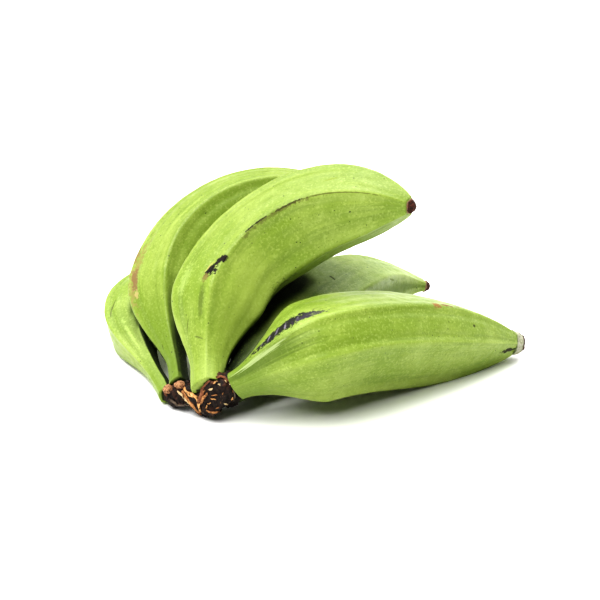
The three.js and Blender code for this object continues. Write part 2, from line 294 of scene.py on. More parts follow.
# Soft studio light: where each source stands, its strength and how wide it looks, degrees
LIGHTS = {
    "key": ((-0.35, 0.38, 1.3), 3.45, 80),
    "front": ((-0.6, -0.9, 1.6), 2.2, 40),
    "back": ((0.8, 1.0, 0.9), 1.4, 60),
}
ROOM_LIGHT = 0.1


# Numbers and curves


def smooth(x):
    x = np.clip(x, 0, 1)
    return x * x * (3 - 2 * x)


def bezier(points, t):
    """Places at shares t on the curve that the points steer."""
    level = [np.array(p, float) for p in points]
    t = np.asarray(t, float)[:, None]
    level = [np.broadcast_to(p, (len(t), 3)) for p in level]
    while len(level) > 1:
        level = [a + (b - a) * t for a, b in zip(level, level[1:])]
    return level[0]


def even_route(points, shares, samples=1200):
    """Places and directions at shares of the curve's own length, and that length."""
    fine = bezier(points, np.linspace(0, 1, samples))
    steps = np.linalg.norm(np.diff(fine, axis=0), axis=1)
    length = np.concatenate([[0], np.cumsum(steps)])
    at = np.asarray(shares) * length[-1]
    places = np.stack([np.interp(at, length, fine[:, k]) for k in range(3)], -1)
    slopes = np.gradient(fine, length, axis=0)
    lines = np.stack([np.interp(at, length, slopes[:, k]) for k in range(3)], -1)
    lines /= np.linalg.norm(lines, axis=1)[:, None]
    return places, lines, length[-1]


def noise_at(points, size, seed=0.0, octaves=3):
    """Smooth noise near -1 to 1 at points in mm, with bumps of about size mm."""
    shift = Vector((seed * 17.3, seed * 5.1, seed * 9.7))
    return np.array([noise.fractal(Vector(p) / size + shift, 1.0, 2.0, octaves) for p in points])


def thickness(finger, t):
    """A finger's half thickness at shares t of its length, mm, as in the solids."""
    low, high = finger["swell"]
    body = finger["neck"] + (1 - finger["neck"]) * smooth((t - low) / (high - low))
    along = np.clip((t - finger["taper"]) / (1 - finger["taper"]), 0, 1)
    return finger["belly"] * body * (1 - (1 - finger["end"]) * along ** finger["power"])


def face_profile(u, width):
    """How far out the section is, as a share, at u from -1 to 1 across a face that spans width radians."""
    inset = np.hypot(1 - np.abs(u), RIDGE_SOFTNESS) - RIDGE_SOFTNESS
    return 1 - FACE_FLATNESS * (1 - np.cos(width / 2)) * (1 - (1 - inset) ** 2)


def welt(u):
    """How far the peel stands out beside a ridge or sinks in the shallow valley next to it, mm."""
    inset = 1 - np.abs(u)
    return WELT_RISE * np.exp(-((inset / 0.13) ** 2)) - WELT_VALLEY * np.exp(-(((inset - 0.36) / 0.2) ** 2))


# Meshes


def add_mesh(name, points, faces, material, body="root"):
    mesh = bpy.data.meshes.new(name)
    mesh.from_pydata((np.asarray(points) * MM).tolist(), [], faces)
    mesh.validate()
    mesh.update()
    mesh.polygons.foreach_set("use_smooth", [True] * len(mesh.polygons))
    mesh.materials.append(material)
    piece = bpy.data.objects.new(name, mesh)
    bpy.context.scene.collection.objects.link(piece)
    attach(piece, body)
    return piece


def add_layer(piece, name, values):
    """Keeps one number for each point of the mesh, which a material can read by name."""
    layer = piece.data.attributes.new(name, "FLOAT", "POINT")
    layer.data.foreach_set("value", np.asarray(values, np.float32))


def add_places(piece, name, x, y, z):
    """Keeps three numbers for each point of a loft, as a place that a pattern can be drawn in."""
    layer = piece.data.attributes.new(name, "FLOAT_VECTOR", "POINT")
    places = np.stack([loft_values(x), loft_values(y), loft_values(z)], -1)
    layer.data.foreach_set("vector", places.astype(np.float32).reshape(-1))


def mesh_points(mesh):
    flat = np.empty(len(mesh.vertices) * 3, np.float32)
    mesh.vertices.foreach_get("co", flat)
    return flat.reshape(-1, 3).astype(float) / MM


def mesh_normals(mesh):
    flat = np.empty(len(mesh.vertices) * 3, np.float32)
    mesh.vertex_normals.foreach_get("vector", flat)
    return flat.reshape(-1, 3).astype(float)


def move_points(mesh, points):
    mesh.vertices.foreach_set("co", (points * MM).astype(np.float32).reshape(-1))
    mesh.update()


def loft_faces(rings, sides):
    """Faces of a closed body through rings of points, with a fan over each end."""
    faces = []
    start = rings * sides
    for j in range(sides):
        k = (j + 1) % sides
        for i in range(rings - 1):
            a = i * sides
            faces.append((a + j, a + k, a + sides + k, a + sides + j))
        last = (rings - 1) * sides
        faces.append((start, k, j))
        faces.append((start + 1, last + j, last + k))
    return faces


def loft_points(rings):
    return np.concatenate([rings.reshape(-1, 3), [rings[0].mean(0)], [rings[-1].mean(0)]])


def loft_values(values):
    """The same order of points as loft_points, for one number a point."""
    return np.concatenate([values.reshape(-1), [values[0].mean()], [values[-1].mean()]])


# Materials

# Settings of nodes that blend colours, and that fade gently at both ends
COLOUR_MIX = {"data_type": "RGBA"}
SMOOTH_STEP = {"interpolation_type": "SMOOTHSTEP"}


def linear(code):
    """An sRGB hex value as linear red, green, blue and alpha."""
    parts = [int(code[i:i + 2], 16) / 255 for i in (1, 3, 5)]
    return tuple(c / 12.92 if c <= 0.04045 else ((c + 0.055) / 1.055) ** 2.4 for c in parts) + (1.0,)


def add_node(tree, kind, settings=(), **links):
    """Adds a node, sets its properties and its inputs, and links what is given as a socket. An input goes by
    its label, or by i and its number where labels repeat."""
    node = tree.nodes.new(kind)
    for key, value in dict(settings).items():
        setattr(node, key, value)
    for key, value in links.items():
        name = key.replace("_", " ")
        socket = node.inputs[int(key[1:])] if key[0] == "i" and key[1:].isdigit() else node.inputs[name]
        if isinstance(value, bpy.types.NodeSocket):
            tree.links.new(value, socket)
        else:
            socket.default_value = value
    return node


def new_material(name):
    material = bpy.data.materials.new(name)
    material.use_nodes = True
    tree = material.node_tree
    tree.nodes.clear()
    return material, tree


def per_mm(size):
    """The scale of a pattern whose features are size mm across, in object coordinates."""
    return 1 / (size * MM)


def mark_mask(tree, skin, grain, streaks, mark):
    """How much a mark covers the peel: an uneven spot, scuff or scratch, or a patch of painted highlight or
    painted shade, at a place along and round the finger. Its edge follows the grain of the skin, or its
    lengthwise fibres where the mark is streaked."""
    mark = {**USUAL_MARK, **mark}
    spot = add_node(
        tree, "ShaderNodeMapping", {"vector_type": "TEXTURE"}, Vector=skin,
        Location=(mark["along"], mark["turn"] * SKIN_PER_DEGREE, 0),
        Rotation=(0, 0, math.radians(mark["lean"])),
        Scale=(mark["long"] / 2, mark["wide"] / 2, 1),
    )
    away = add_node(tree, "ShaderNodeVectorMath", {"operation": "LENGTH"}, Vector=spot.outputs["Vector"])
    rough = add_node(
        tree, "ShaderNodeMath", {"operation": "MULTIPLY_ADD"},
        i0=streaks if mark["streaked"] else grain, i1=mark["ragged"], i2=away.outputs["Value"],
    )
    cover = add_node(
        tree, "ShaderNodeMapRange", SMOOTH_STEP, Value=rough.outputs["Value"],
        From_Min=MARK_EDGE + mark["soft"], From_Max=MARK_EDGE - mark["soft"], To_Max=mark["strength"],
    )
    return cover.outputs["Result"]


def peel_material(name, marks, neck, neck_reach, neck_strength):
    """Plantain peel is a smooth living skin under wax: a satin sheen over yellow-green that shifts in broad
    patches, with ridges painted paler as a highlight and the valleys beside them painted darker as shade. It
    shows lengthwise fibres, fine dots, scars and rubbed places, painted shade where neighbours shut it in, and
    a few marks that are painted highlights or painted shade."""
    material, tree = new_material("waxy green plantain peel, " + name)
    place = add_node(tree, "ShaderNodeTexCoord").outputs["Object"]
    along = add_node(tree, "ShaderNodeAttribute", {"attribute_name": "along"}).outputs["Fac"]
    ridge = add_node(tree, "ShaderNodeAttribute", {"attribute_name": "ridge"}).outputs["Fac"]
    crevice = add_node(tree, "ShaderNodeAttribute", {"attribute_name": "crevice"}).outputs["Fac"]
    skin = add_node(tree, "ShaderNodeAttribute", {"attribute_name": "skin"}).outputs["Vector"]
    wrap = add_node(tree, "ShaderNodeAttribute", {"attribute_name": "wrap"}).outputs["Vector"]

    # The tone of the peel shifts over about 26 mm, and in clouds of about 6 mm
    broad = add_node(tree, "ShaderNodeTexNoise", Vector=place, Scale=per_mm(26), Detail=2.0).outputs["Fac"]
    patch = add_node(tree, "ShaderNodeTexNoise", Vector=place, Scale=per_mm(6), Detail=4.0).outputs["Fac"]
    # Mottling and pepper are under half a millimetre on the fruit, and are drawn coarser so that they show
    mottle = add_node(tree, "ShaderNodeTexNoise", Vector=place, Scale=per_mm(1.3), Detail=3.0).outputs["Fac"]
    pepper = add_node(tree, "ShaderNodeTexNoise", Vector=place, Scale=per_mm(0.9), Detail=2.0).outputs["Fac"]
    # The wrap layer already counts in fibres, and bands are about three fibres wide
    fibre = add_node(
        tree, "ShaderNodeTexNoise", Vector=wrap, Scale=1.0, Detail=4.0, Roughness=0.6).outputs["Fac"]
    band = add_node(
        tree, "ShaderNodeTexNoise", Vector=wrap, Scale=0.35, Detail=3.0, Roughness=0.6).outputs["Fac"]
    # Specks stand about 3 mm apart. Each is about 0.2 mm wide on the fruit, and is drawn up to 1 mm wide
    specks = add_node(tree, "ShaderNodeTexVoronoi", Vector=place, Scale=per_mm(3.2), Randomness=1.0)

    broad_share = add_node(tree, "ShaderNodeMapRange", Value=broad, From_Min=0.38, From_Max=0.62)
    patch_share = add_node(
        tree, "ShaderNodeMapRange", Value=patch, From_Min=0.45, From_Max=0.75, To_Max=0.45)
    ridge_painted_highlight = add_node(
        tree, "ShaderNodeMapRange", SMOOTH_STEP, Value=ridge, From_Min=0.8, From_Max=1.0, To_Max=0.25)
    valley_painted_shade = add_node(
        tree, "ShaderNodeMapRange", SMOOTH_STEP, Value=ridge, From_Min=0.9, From_Max=0.55, To_Max=0.18)
    band_share = add_node(tree, "ShaderNodeMapRange", Value=band, From_Min=0.5, From_Max=0.68, To_Max=0.5)
    mottle_share = add_node(
        tree, "ShaderNodeMapRange", Value=mottle, From_Min=0.5, From_Max=0.7, To_Max=0.4)
    neck_share = add_node(
        tree, "ShaderNodeMapRange", SMOOTH_STEP, Value=along,
        From_Min=neck_reach, From_Max=2.0, To_Max=neck_strength,
    )
    fibre_share = add_node(
        tree, "ShaderNodeMapRange", Value=fibre, From_Min=0.5, From_Max=0.72, To_Max=0.22)
    near_neck = add_node(
        tree, "ShaderNodeMath", {"operation": "MULTIPLY_ADD"},
        i0=neck_share.outputs["Result"], i1=2.0, i2=0.9,
    )
    fibre_mask = add_node(
        tree, "ShaderNodeMath", {"operation": "MULTIPLY"},
        i0=fibre_share.outputs["Result"], i1=near_neck.outputs["Value"],
    )
    painted_crevice_shade = add_node(
        tree, "ShaderNodeMapRange", SMOOTH_STEP, Value=crevice, From_Min=0.1, From_Max=0.4, To_Max=0.95)
    speck_size = add_node(
        tree, "ShaderNodeMapRange", Value=specks.outputs["Color"], From_Min=0.5, From_Max=1.0, To_Max=0.19)
    speck_edge = add_node(
        tree, "ShaderNodeMath", {"operation": "LESS_THAN"},
        i0=specks.outputs["Distance"], i1=speck_size.outputs["Result"],
    )
    speck_share = add_node(
        tree, "ShaderNodeMath", {"operation": "MULTIPLY"}, i0=speck_edge.outputs["Value"], i1=0.85)
    pepper_share = add_node(
        tree, "ShaderNodeMapRange", Value=pepper, From_Min=0.6, From_Max=0.72, To_Max=0.55)

    # The edges of marks fray with a grain of about 2 mm, or with the fibres where a mark is streaked
    noisy = add_node(tree, "ShaderNodeTexNoise", Vector=place, Scale=per_mm(2.2), Detail=5.0, Roughness=0.7)
    centred = add_node(tree, "ShaderNodeMath", {"operation": "SUBTRACT"}, i0=noisy.outputs["Fac"], i1=0.5)
    grain = add_node(
        tree, "ShaderNodeMath", {"operation": "MULTIPLY"}, i0=centred.outputs["Value"], i1=2.6,
    ).outputs["Value"]
    streaks = add_node(
        tree, "ShaderNodeMath", {"operation": "MULTIPLY_ADD"}, i0=fibre, i1=4.0, i2=-2.0).outputs["Value"]
    mark_shares = [mark_mask(tree, skin, grain, streaks, mark) for mark in marks]

    colour = add_node(
        tree, "ShaderNodeMix", COLOUR_MIX,
        i0=broad_share.outputs["Result"], i6=linear("#7e933c"), i7=linear("#92a351"),
    ).outputs[2]
    layers = [
        (patch_share.outputs["Result"], "#71862b"),
        # Ridges are painted paler as a highlight, and the valley beside each is painted darker as shade
        (ridge_painted_highlight.outputs["Result"], "#a0b355"),
        (valley_painted_shade.outputs["Result"], "#637a17"),
        (band_share.outputs["Result"], "#647a24"),
        (mottle_share.outputs["Result"], "#adbb6c"),
        # The neck's tone, painted light on the third finger and painted shade on the fourth
        (neck_share.outputs["Result"], neck),
        (fibre_mask.outputs["Value"], "#51671a"),
        # Painted shade: peel that its neighbours shut in is darkened to near black
        (painted_crevice_shade.outputs["Result"], "#131c05"),
        (speck_share.outputs["Value"], "#2f3812"),
        (pepper_share.outputs["Result"], "#5a6b1c"),
    ]
    # Marks: scars and rubbed places, and a few patches of painted highlight and painted shade
    layers += [(share, mark["colour"]) for share, mark in zip(mark_shares, marks)]
    for share, code in layers:
        colour = add_node(tree, "ShaderNodeMix", COLOUR_MIX, i0=share, i6=colour, i7=linear(code)).outputs[2]

    # Wax gives the sheen. Peel that its neighbours shut in is drawn matt along with its painted shade, peel
    # under a scar or a painted highlight or shade patch is matt as well, and such a mark lies lower
    scars_and_painted_light = mark_shares[0]
    for share in mark_shares[1:]:
        scars_and_painted_light = add_node(
            tree, "ShaderNodeMath", {"operation": "MAXIMUM"}, i0=scars_and_painted_light, i1=share).outputs["Value"]
    wax = add_node(
        tree, "ShaderNodeMapRange", Value=patch, From_Min=0.3, From_Max=0.7, To_Min=0.36, To_Max=0.5)
    gloss = add_node(
        tree, "ShaderNodeMix", i0=painted_crevice_shade.outputs["Result"], i2=wax.outputs["Result"], i3=0.95)
    rougher = add_node(tree, "ShaderNodeMix", i0=scars_and_painted_light, i2=gloss.outputs[0], i3=0.85)
    texture = add_node(tree, "ShaderNodeMath", {"operation": "MULTIPLY_ADD"}, i0=fibre, i1=0.7, i2=mottle)
    height = add_node(
        tree, "ShaderNodeMath", {"operation": "MULTIPLY_ADD"},
        i0=scars_and_painted_light, i1=-0.8, i2=texture.outputs["Value"],
    )
    bump = add_node(
        tree, "ShaderNodeBump", Strength=0.35, Distance=0.12 * MM, Height=height.outputs["Value"])
    shader = add_node(
        tree, "ShaderNodeBsdfPrincipled", Base_Color=colour, Roughness=rougher.outputs[0],
        Normal=bump.outputs["Normal"], IOR=1.45, Specular_IOR_Level=0.32,
        Coat_Weight=0.06, Coat_Roughness=0.3,
    )
    add_node(tree, "ShaderNodeOutputMaterial", Surface=shader.outputs["BSDF"])
    return material


def crown_material():
    """Plantain stalk bleeds a sap that dries nearly black: a dull, matt, fibrous cut with torn edges that
    stay reddish brown and tan where the fibre stands proud."""
    material, tree = new_material("dried, blackened plantain stalk fibre, knife cut and torn")
    place = add_node(tree, "ShaderNodeTexCoord").outputs["Object"]
    proud = add_node(tree, "ShaderNodeAttribute", {"attribute_name": "proud"}).outputs["Fac"]
    normal = add_node(tree, "ShaderNodeNewGeometry").outputs["Normal"]
    facing = add_node(tree, "ShaderNodeSeparateXYZ", Vector=normal).outputs["Z"]
    # Bundles of fibre are about 0.7 mm across and three times as high, and the sap stains in 4 mm blotches
    drawn_out = add_node(tree, "ShaderNodeMapping", Vector=place, Scale=(1.0, 1.0, 0.3)).outputs["Vector"]
    fibre = add_node(
        tree, "ShaderNodeTexNoise", Vector=drawn_out, Scale=per_mm(0.7), Detail=5.0, Roughness=0.65,
    ).outputs["Fac"]
    blotch = add_node(tree, "ShaderNodeTexNoise", Vector=place, Scale=per_mm(4), Detail=4.0).outputs["Fac"]
    dry_share = add_node(tree, "ShaderNodeMapRange", Value=fibre, From_Min=0.4, From_Max=0.65)
    stained = add_node(tree, "ShaderNodeMapRange", Value=blotch, From_Min=0.46, From_Max=0.62)
    # The reddish brown is drawn in the blotches only where the face points up, so the crown is lighter on top
    upward = add_node(tree, "ShaderNodeMapRange", Value=facing, From_Min=0.0, From_Max=0.8, To_Max=0.85)
    red_share = add_node(
        tree, "ShaderNodeMath", {"operation": "MULTIPLY"},
        i0=stained.outputs["Result"], i1=upward.outputs["Result"],
    )
    rim = add_node(tree, "ShaderNodeMapRange", Value=proud, From_Min=0.45, From_Max=0.9)
    frayed = add_node(tree, "ShaderNodeMapRange", Value=fibre, From_Min=0.52, From_Max=0.66, To_Max=0.8)
    rim_share = add_node(
        tree, "ShaderNodeMath", {"operation": "MULTIPLY"},
        i0=rim.outputs["Result"], i1=frayed.outputs["Result"],
    )
    colour = linear("#0b0705")
    for share, code in (
        (dry_share.outputs["Result"], "#2a1a12"),
        (red_share.outputs["Value"], "#54301f"),
        (rim_share.outputs["Value"], "#a97e54"),
    ):
        colour = add_node(tree, "ShaderNodeMix", COLOUR_MIX, i0=share, i6=colour, i7=linear(code)).outputs[2]
    matt = add_node(tree, "ShaderNodeMapRange", Value=blotch, From_Min=-1.0, From_Max=1.2)
    bump = add_node(tree, "ShaderNodeBump", Strength=0.6, Distance=0.3 * MM, Height=fibre)
    shader = add_node(
        tree, "ShaderNodeBsdfPrincipled", Base_Color=colour, Roughness=matt.outputs["Result"],
        Normal=bump.outputs["Normal"], IOR=1.4,
    )
    add_node(tree, "ShaderNodeOutputMaterial", Surface=shader.outputs["BSDF"])
    return material


def strip_material(light, dark):
    """Skin of the stalk that peeled and dried: pale ribs and darker grooves run along each strip, matt."""
    material, tree = new_material("dried peeled stalk skin " + light[1:])
    place = add_node(tree, "ShaderNodeTexCoord").outputs["Object"]
    fibres = add_node(tree, "ShaderNodeAttribute", {"attribute_name": "fibres"}).outputs["Vector"]
    # The fibres layer runs once round each strip, so the ribs are a few to its width. Stains are 1.6 mm wide
    streak = add_node(
        tree, "ShaderNodeTexNoise", Vector=fibres, Scale=2.2, Detail=4.0, Roughness=0.65).outputs["Fac"]
    stain = add_node(tree, "ShaderNodeTexNoise", Vector=place, Scale=per_mm(1.6), Detail=3.0).outputs["Fac"]
    groove_share = add_node(tree, "ShaderNodeMapRange", Value=streak, From_Min=0.42, From_Max=0.6)
    stain_share = add_node(
        tree, "ShaderNodeMapRange", Value=stain, From_Min=0.56, From_Max=0.68, To_Max=0.85)
    colour = linear(light)
    for share, code in ((groove_share.outputs["Result"], dark), (stain_share.outputs["Result"], "#1e110a")):
        colour = add_node(tree, "ShaderNodeMix", COLOUR_MIX, i0=share, i6=colour, i7=linear(code)).outputs[2]
    matt = add_node(tree, "ShaderNodeMapRange", Value=stain, From_Min=-1.2, From_Max=1.0)
    bump = add_node(tree, "ShaderNodeBump", Strength=0.5, Distance=0.2 * MM, Height=streak)
    shader = add_node(
        tree, "ShaderNodeBsdfPrincipled", Base_Color=colour, Roughness=matt.outputs["Result"],
        Normal=bump.outputs["Normal"], IOR=1.45,
    )
    add_node(tree, "ShaderNodeOutputMaterial", Surface=shader.outputs["BSDF"])
    return material


def withered_material():
    """The dry remains of the flower: crumbly near-black tissue with rust and pale edges, no sheen."""
    material, tree = new_material("withered plantain blossom tissue")
    place = add_node(tree, "ShaderNodeTexCoord").outputs["Object"]
    outward = add_node(tree, "ShaderNodeAttribute", {"attribute_name": "outward"}).outputs["Fac"]
    # Crumbs of the dry tissue are about 1 mm
    crumb = add_node(
        tree, "ShaderNodeTexNoise", Vector=place, Scale=per_mm(1.0), Detail=5.0, Roughness=0.7).outputs["Fac"]
    rust_share = add_node(tree, "ShaderNodeMapRange", Value=crumb, From_Min=0.4, From_Max=0.62)
    collar_share = add_node(
        tree, "ShaderNodeMapRange", Value=outward, From_Min=0.24, From_Max=0.0, To_Max=0.7)
    pale_share = add_node(tree, "ShaderNodeMapRange", Value=crumb, From_Min=0.6, From_Max=0.72, To_Max=0.7)
    colour = linear("#170b07")
    for share, code in (
        (rust_share.outputs["Result"], "#5a2c1c"),
        (collar_share.outputs["Result"], "#b59a78"),
        (pale_share.outputs["Result"], "#8a5f42"),
    ):
        colour = add_node(tree, "ShaderNodeMix", COLOUR_MIX, i0=share, i6=colour, i7=linear(code)).outputs[2]
    matt = add_node(tree, "ShaderNodeMapRange", Value=crumb, From_Min=-1.0, From_Max=1.0)
    bump = add_node(tree, "ShaderNodeBump", Strength=0.6, Distance=0.3 * MM, Height=crumb)
    shader = add_node(
        tree, "ShaderNodeBsdfPrincipled", Base_Color=colour, Roughness=matt.outputs["Result"],
        Normal=bump.outputs["Normal"], IOR=1.4,
    )
    add_node(tree, "ShaderNodeOutputMaterial", Surface=shader.outputs["BSDF"])
    return material


def cap_material():
    """The front finger's tip dried to a corky grey cap: pale streaks, brown cracks and a dark torn rim."""
    material, tree = new_material("dried grey cork of a plantain tip")
    place = add_node(tree, "ShaderNodeTexCoord").outputs["Object"]
    outward = add_node(tree, "ShaderNodeAttribute", {"attribute_name": "outward"}).outputs["Fac"]
    # Grains of the cork are about 1.4 mm, and it cracked about every 4 mm
    crumb = add_node(
        tree, "ShaderNodeTexNoise", Vector=place, Scale=per_mm(1.4), Detail=5.0, Roughness=0.7).outputs["Fac"]
    crack = add_node(
        tree, "ShaderNodeTexNoise", {"noise_type": "RIDGED_MULTIFRACTAL"}, Vector=place, Scale=per_mm(4),
    ).outputs["Fac"]
    pale_share = add_node(tree, "ShaderNodeMapRange", Value=crumb, From_Min=0.38, From_Max=0.66)
    crack_share = add_node(
        tree, "ShaderNodeMapRange", Value=crack, From_Min=0.75, From_Max=0.95, To_Max=0.8)
    green_share = add_node(
        tree, "ShaderNodeMapRange", Value=outward, From_Min=0.1, From_Max=0.0, To_Max=0.6)
    ragged = add_node(tree, "ShaderNodeMath", {"operation": "MULTIPLY_ADD"}, i0=crumb, i1=0.5, i2=outward)
    torn_share = add_node(
        tree, "ShaderNodeMapRange", Value=ragged.outputs["Value"], From_Min=0.98, From_Max=1.1)
    colour = linear("#85886b")
    for share, code in (
        (pale_share.outputs["Result"], "#b5b2a2"),
        (crack_share.outputs["Result"], "#6d5443"),
        (green_share.outputs["Result"], "#5e7030"),
        (torn_share.outputs["Result"], "#3a1f16"),
    ):
        colour = add_node(tree, "ShaderNodeMix", COLOUR_MIX, i0=share, i6=colour, i7=linear(code)).outputs[2]
    matt = add_node(tree, "ShaderNodeMapRange", Value=crumb, From_Min=-0.8, From_Max=1.2)
    bump = add_node(tree, "ShaderNodeBump", Strength=0.5, Distance=0.3 * MM, Height=crumb)
    shader = add_node(
        tree, "ShaderNodeBsdfPrincipled", Base_Color=colour, Roughness=matt.outputs["Result"],
        Normal=bump.outputs["Normal"], IOR=1.4,
    )
    add_node(tree, "ShaderNodeOutputMaterial", Surface=shader.outputs["BSDF"])
    return material


def board_material():
    """White painted board: matt, with a fine grain that only breaks up its sheen. The grain of the paint is
    drawn 2 mm coarse."""
    material, tree = new_material("matt white painted board")
    place = add_node(tree, "ShaderNodeTexCoord").outputs["Object"]
    grain = add_node(tree, "ShaderNodeTexNoise", Vector=place, Scale=per_mm(2), Detail=3.0).outputs["Fac"]
    matt = add_node(tree, "ShaderNodeMapRange", Value=grain, From_Min=-3.0, From_Max=1.0)
    shader = add_node(
        tree, "ShaderNodeBsdfPrincipled", Base_Color=linear("#f4f4f2"), Roughness=matt.outputs["Result"])
    add_node(tree, "ShaderNodeOutputMaterial", Surface=shader.outputs["BSDF"])
    return material


# Fingers


def finger_mesh(name, finger, material):
    """The peel of one finger: the section of its solid along its route, with a rounded root at the neck,
    welts beside the ridges and a skin that swells and dips."""
    even = np.linspace(0, 1, FINGER_RINGS)
    t = PEEL_END * (even + (0.5 - 0.5 * np.cos(np.pi * even) - even) * 0.5)  # rings closer at both ends
    middle, line, length = even_route(finger["route"], t)
    start, turn_to, tip = (np.array(finger["route"][i], float) for i in (0, 3, 5))
    side = np.cross(turn_to - start, tip - start)
    side = side / np.linalg.norm(side)
    side = side - (line @ side)[:, None] * line
    side /= np.linalg.norm(side, axis=1)[:, None]
    out = np.cross(side, line)
    half = thickness(finger, t)
    share = YOUNG_SECTION + (1 - YOUNG_SECTION) * smooth(t / GROWN_SECTION)
    breadth = 1 + (finger["breadth"] - 1) * (1 - smooth(t / NECK_BLEND))

    # The first face is as wide as the finger says, and the others share what is left
    rest = (360 - finger["face"]) / (FACES - 1)
    turns = np.radians([0] + [finger["face"] + rest * i for i in range(FACES)])
    angle = np.linspace(0, 2 * math.pi, FINGER_SIDES, endpoint=False)
    face = np.clip(np.searchsorted(turns, angle, side="right") - 1, 0, FACES - 1)
    width = turns[face + 1] - turns[face]
    u = 2 * (angle - turns[face]) / width - 1
    profile = face_profile(u, width)
    reach = half[:, None] * (1 + (profile[None] - 1) * share[:, None])
    reach += welt(u)[None] * (np.clip(half / finger["belly"], 0, 1) * share)[:, None]
    true_angle = angle + math.radians(finger["ridge"])
    ring = middle[:, None] + (reach * np.cos(true_angle))[..., None] * out[:, None]
    ring = ring + (reach * np.sin(true_angle) * breadth[:, None])[..., None] * side[:, None]

    # The root of the neck is rounded off towards the crown
    tilt = np.radians(np.linspace(84, 6, NECK_RINGS))
    dome = middle[0] + (ring[0] - middle[0]) * np.cos(tilt)[:, None, None]
    dome -= line[0] * (NECK_DOME * half[0] * np.sin(tilt))[:, None, None]
    ring = np.concatenate([dome, ring])
    middle = np.concatenate([np.repeat(middle[:1], NECK_RINGS, 0), middle])
    distance = np.concatenate([-NECK_DOME * half[0] * np.sin(tilt), t * length])
    rings = FINGER_RINGS + NECK_RINGS
    ring[..., 2] = np.maximum(ring[..., 2], 0)
    flesh = loft_points(ring)
    out_way = loft_points(ring - middle[:, None])
    out_way /= np.maximum(np.linalg.norm(out_way, axis=1), 1e-6)[:, None]

    # Every point knows how far along the finger and how far round it lies
    from_seam = (np.degrees(angle) - SEAM_TURN) % 360 + SEAM_TURN - 360
    along = np.repeat(distance[:, None], FINGER_SIDES, 1)
    turn = np.repeat(from_seam[None], rings, 0)
    if name in FULLER_SIDE:
        full_along, full_turn, fade_along, fade_turn, full_by = FULLER_SIDE[name]
        away = ((along - full_along) / fade_along) ** 2 + ((turn - full_turn) / fade_turn) ** 2
        fuller = full_by * np.exp(-away)
        flesh += loft_values(fuller)[:, None] * out_way
    uneven = UNEVEN_BROAD * noise_at(flesh, 24, finger["belly"], 1)
    uneven += UNEVEN_FINE * noise_at(flesh, 7, finger["belly"] + 3, 2)
    flesh += (uneven - UNEVEN_LOWER)[:, None] * out_way
    flesh[:, 2] = np.maximum(flesh[:, 2], 0)
    piece = add_mesh(name + "_peel", flesh - MIDDLE, loft_faces(rings, FINGER_SIDES), material)

    round_it = np.radians(turn)
    add_layer(piece, "along", loft_values(along))
    add_layer(piece, "ridge", loft_values(np.repeat(np.abs(u)[None], rings, 0)))
    add_places(piece, "skin", along, turn * SKIN_PER_DEGREE, 0 * turn)
    usual_half = HALF_IN_DEGREES * SKIN_PER_DEGREE / FIBRE_WIDTH
    across, up = np.cos(round_it) * usual_half, np.sin(round_it) * usual_half
    add_places(piece, "wrap", along / FIBRE_LENGTH, across, up)
    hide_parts(name)
    return piece


def tree_of(pieces):
    """One search tree in mm over several pieces, to cast lines at."""
    points, faces = [], []
    for piece in pieces:
        start = len(points)
        points.extend(mesh_points(piece.data).tolist())
        faces.extend([start + i for i in face.vertices] for face in piece.data.polygons)
    return BVHTree.FromPolygons(points, faces)


def even_directions(count):
    """Directions spread evenly over a sphere."""
    z = 1 - (np.arange(count) + 0.5) * 2 / count
    around = np.arange(count) * math.pi * (3 - math.sqrt(5))
    flat = np.sqrt(1 - z * z)
    return np.stack([flat * np.cos(around), flat * np.sin(around), z], -1)


def add_crevices(piece, tree):
    """Keeps for each point of a finger how closely its neighbours shut it in, from 0 to 1, which the peel
    paints as shade.
    """
    rings = FINGER_RINGS + NECK_RINGS
    points, normals = mesh_points(piece.data), mesh_normals(piece.data)
    at_rings = np.unique(np.append(np.arange(0, rings, CREVICE_STEPS[0]), rings - 1))
    at_sides = np.arange(0, FINGER_SIDES, CREVICE_STEPS[1])
    ways = even_directions(CREVICE_WAYS)
    shut = np.zeros((len(at_rings), len(at_sides)))
    for i, ring in enumerate(at_rings):
        for j, side in enumerate(at_sides):
            normal = normals[ring * FINGER_SIDES + side]
            start = Vector(points[ring * FINGER_SIDES + side] + 0.5 * normal)
            facing = ways @ normal
            total = 0.0
            for way, share in zip(ways, facing):
                if share > 0.05:
                    away = tree.ray_cast(start, Vector(way), CREVICE_REACH)[3]
                    total += share * (1 - away / CREVICE_REACH) if away is not None else 0
            shut[i, j] = total / facing[facing > 0.05].sum()
    round_it = np.concatenate([shut, shut[:, :1]], 1)
    sides = np.append(at_sides, FINGER_SIDES)
    by_side = np.array([np.interp(np.arange(FINGER_SIDES), sides, row) for row in round_it])
    every = np.array([np.interp(np.arange(rings), at_rings, column) for column in by_side.T]).T
    add_layer(piece, "crevice", loft_values(every))


peels = [
    finger_mesh(name, finger, peel_material(name, MARKS[name], *NECKS[name]))
    for name, finger in FINGERS.items()
]


# Crown


def squared(x):
    return np.sign(x) * np.abs(x) ** CROWN_SQUARENESS


def torn_relief(x, y, z):
    """How far the crown swells or sinks at a place, as a share, as in the solids."""
    folds = np.sin(0.55 * x + 0.3 * z) * np.sin(0.5 * z - 0.35 * y)
    return 1 + CROWN_RELIEF * (folds + 0.5 * np.sin(0.9 * x + 0.7 * y))


def stage_curve(values, t):
    """A smooth curve through the stages at shares t of their count, as in the solids."""
    values = np.array(values, float)
    last = len(values) - 1
    padded = np.concatenate([[2 * values[0] - values[1]], values, [2 * values[-1] - values[-2]]])
    at = np.clip(t * last, 0, last - 1e-9)
    i = at.astype(int)
    w = (at - i)[:, None]
    p0, p1, p2, p3 = (padded[i + k] for k in range(4))
    bend = (2 * p0 - 5 * p1 + 4 * p2 - p3) * w**2
    twist = (3 * p1 - p0 - 3 * p2 + p3) * w**3
    return 0.5 * (2 * p1 + (p2 - p0) * w + bend + twist)


